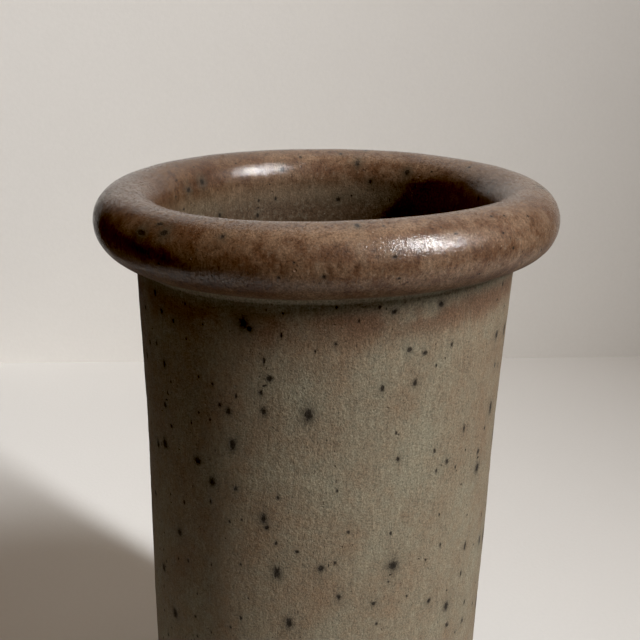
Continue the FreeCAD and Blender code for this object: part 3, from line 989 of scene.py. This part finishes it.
def disc_relief(r, z, phi):
    """Turning lines of the trimming tool on the underside and on the bevel above the foot."""
    x, y = r * np.cos(phi), r * np.sin(phi)
    u = np.where(z < FLOOR_UNDER_Z + 0.05, 1.0, 0.0)
    turn = phi / (2 * math.pi)
    line = np.sin(2 * math.pi * (r / 2.1 + turn)) * 0.045 + np.sin(2 * math.pi * (r / 0.9 + turn)) * 0.012
    edge = smooth(FOOT_R_IN + 0.1, FOOT_R_IN - 1.5, r) * smooth(0.5, 3.0, r)
    bev = np.where((z > FOOT_H + 0.05) & (z < GLAZE_LINE_Z + 0.3) & (r > FOOT_R_OUT - 1.0), 1.0, 0.0)
    h = u * edge * (line + 0.05 * perlin(x, y, z, 9.0, 51) + 0.02 * perlin(x, y, z, 2.6, 52))
    return h + bev * 0.022 * (perlin(x, y, z, (3.0, 3.0, 0.9), 53))


def foot_relief(r, z, phi):
    x, y = r * np.cos(phi), r * np.sin(phi)
    free = smooth(FOOT_H, FOOT_H - 0.8, z)
    return free * (0.035 * perlin(x, y, z, (9, 9, 3), 54) + 0.022 * perlin(x, y, z, (2.4, 2.4, 1.2), 55) - 0.03)


body_wall = turned_clay("body_wall", wall_loop, 192, MAT_CLAY, step=3.0)
rolled_rim = turned_clay("rolled_rim", rim_loop, 192, MAT_CLAY, step=1.5)
floor_disc = turned_clay("floor_disc", disc_loop, 256, MAT_CLAY, step=0.42, grooves=disc_relief, waver_on=False,
                         fine=lambda a, b, st: st if max(a[1], b[1]) < 8.0 else 2.5)
foot_ring = turned_clay("foot_ring", foot_loop, 256, MAT_CLAY, step=0.5, grooves=foot_relief, waver_on=False)

PIECES = {"wall_glaze": (wall_glaze, "glaze_outer"), "rim_glaze": (rim_glaze, "glaze_rim"), "liner_glaze": (liner_glaze, "glaze_liner"),
          "body_wall": (body_wall, "stoneware_clay"), "rolled_rim": (rolled_rim, "stoneware_clay"),
          "floor_disc": (floor_disc, "stoneware_clay"), "foot_ring": (foot_ring, "stoneware_clay")}
for node, (ob, slot_name) in PIECES.items():
    ob.name = "vase_" + node
    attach(ob, "root")
    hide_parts(node)

# ----------------------------------------------------------------------------------------------
# Studio: table top, wall behind, light from a window-sized softbox at the right
# ----------------------------------------------------------------------------------------------
def sheet_mesh(name, corners, mat, bounce=True):
    me = bpy.data.meshes.new(name)
    me.from_pydata(corners, [], [(0, 1, 2, 3)])
    me.update()
    me.materials.append(mat)
    ob = bpy.data.objects.new(name, me)
    scene.collection.objects.link(ob)
    if not bounce:
        # The far left and the near edge of the studio throw no light back: they stand in for a dark room.
        ob.visible_diffuse = False
    ob.visible_glossy = bounce
    return ob


MAT_FLOOR = plaster("studio_floor", (0.650, 0.645, 0.625), 1.6, 0.05)
MAT_BACK = plaster("studio_wall", (0.765, 0.738, 0.695), 2.4, 0.06)
wall_dir = Vector((0.443, 0.0429, 0.0)).normalized()
wall_at = Vector((0.0, 0.3438, 0.0))
wa, wl, wr = wall_at - wall_dir * 2.4, wall_at - wall_dir * 0.25, wall_at + wall_dir * 2.2
sheet_mesh("studio_floor", [(wl.x, -0.21, 0), (wr.x, -0.21, 0), (wr.x, wr.y, 0), (wl.x, wl.y, 0)], MAT_FLOOR)
sheet_mesh("studio_wall", [(wl.x, wl.y, 0), (wr.x, wr.y, 0), (wr.x, wr.y, 1.3), (wl.x, wl.y, 1.3)], MAT_BACK)
sheet_mesh("studio_floor_left", [(wa.x, -2.4, 0), (wl.x, -2.4, 0), (wl.x, wl.y, 0), (wa.x, wa.y, 0)], MAT_FLOOR, False)
sheet_mesh("studio_floor_near", [(wl.x, -2.4, 0), (wr.x, -2.4, 0), (wr.x, -0.21, 0), (wl.x, -0.21, 0)], MAT_FLOOR, False)
sheet_mesh("studio_wall_left", [(wa.x, wa.y, 0), (wl.x, wl.y, 0), (wl.x, wl.y, 1.3), (wa.x, wa.y, 1.3)], MAT_BACK, False)


def area_light(name, at, aim, w, h, watts, colour, spread=180.0):
    li = bpy.data.lights.new(name, "AREA")
    li.shape = "RECTANGLE"
    li.size, li.size_y = w, h
    li.energy = watts
    li.color = colour
    li.spread = math.radians(spread)
    ob = bpy.data.objects.new(name, li)
    ob.location = at
    d = (Vector(aim) - Vector(at)).normalized()
    ob.rotation_euler = d.to_track_quat("-Z", "Y").to_euler()
    scene.collection.objects.link(ob)
    return ob


def toward(az, el, dist):
    az, el = math.radians(az), math.radians(el)
    return Vector((dist * math.cos(el) * math.cos(az), dist * math.cos(el) * math.sin(az), dist * math.sin(el)))


KEY_AT = toward(-31.0, 48.0, 3.2)
area_light("key", KEY_AT, KEY_AT + toward(212.0, 10.0, 1.0), 0.60, 2.4, 720.0, (0.99, 0.99, 1.0))
area_light("top", (-0.10, 0.10, 1.30), (0.0, 0.0, 0.0), 0.8, 0.8, 2.7, (1.0, 0.70, 0.47))

world = bpy.data.worlds.new("studio_dark")
world.use_nodes = True
scene.world = world
nt = world.node_tree
nt.nodes.clear()
wo = nt.nodes.new("ShaderNodeOutputWorld")
mixs = nt.nodes.new("ShaderNodeMixShader")
lp = nt.nodes.new("ShaderNodeLightPath")
room = nt.nodes.new("ShaderNodeBackground")
room.inputs[0].default_value = (0.020, 0.0132, 0.0078, 1.0)
room.inputs[1].default_value = 1.0
seen = nt.nodes.new("ShaderNodeBackground")
seen.inputs[0].default_value = (0.50, 0.47, 0.42, 1.0)
seen.inputs[1].default_value = 1.0
nt.links.new(lp.outputs["Is Camera Ray"], mixs.inputs[0])
nt.links.new(room.outputs[0], mixs.inputs[1])
nt.links.new(seen.outputs[0], mixs.inputs[2])
nt.links.new(mixs.outputs[0], wo.inputs[0])

# ----------------------------------------------------------------------------------------------
# Camera
# ----------------------------------------------------------------------------------------------
cam = bpy.data.cameras.new("camera")
cam.sensor_width = 36.0
cam.lens = 50.625
cam.clip_start = 0.01
cam.clip_end = 20.0
co = bpy.data.objects.new("camera", cam)
scene.collection.objects.link(co)
psi, pit, rho = -0.0036, math.radians(19.18), math.radians(1.37)
fw = Vector((math.sin(psi) * math.cos(pit), math.cos(psi) * math.cos(pit), -math.sin(pit)))
ri = Vector((math.cos(psi), -math.sin(psi), 0.0))
up_ = ri.cross(fw)
r2 = math.cos(rho) * ri + math.sin(rho) * up_
u2 = -math.sin(rho) * ri + math.cos(rho) * up_
co.matrix_world = Matrix(((r2.x, u2.x, -fw.x, 0.0), (r2.y, u2.y, -fw.y, -0.23555), (r2.z, u2.z, -fw.z, 0.23070), (0, 0, 0, 1)))
scene.camera = co
scene.view_settings.view_transform = "Standard"
# A camera's slightly raised black point.
scene.view_settings.use_curve_mapping = True
scene.view_settings.curve_mapping.black_level = (0.007, 0.007, 0.007)
scene.view_settings.curve_mapping.update()

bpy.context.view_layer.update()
for node, (ob, _) in PIECES.items():
    print("piece", node, len(ob.data.vertices), "vertices", sum(len(p.vertices) - 2 for p in ob.data.polygons), "triangles")
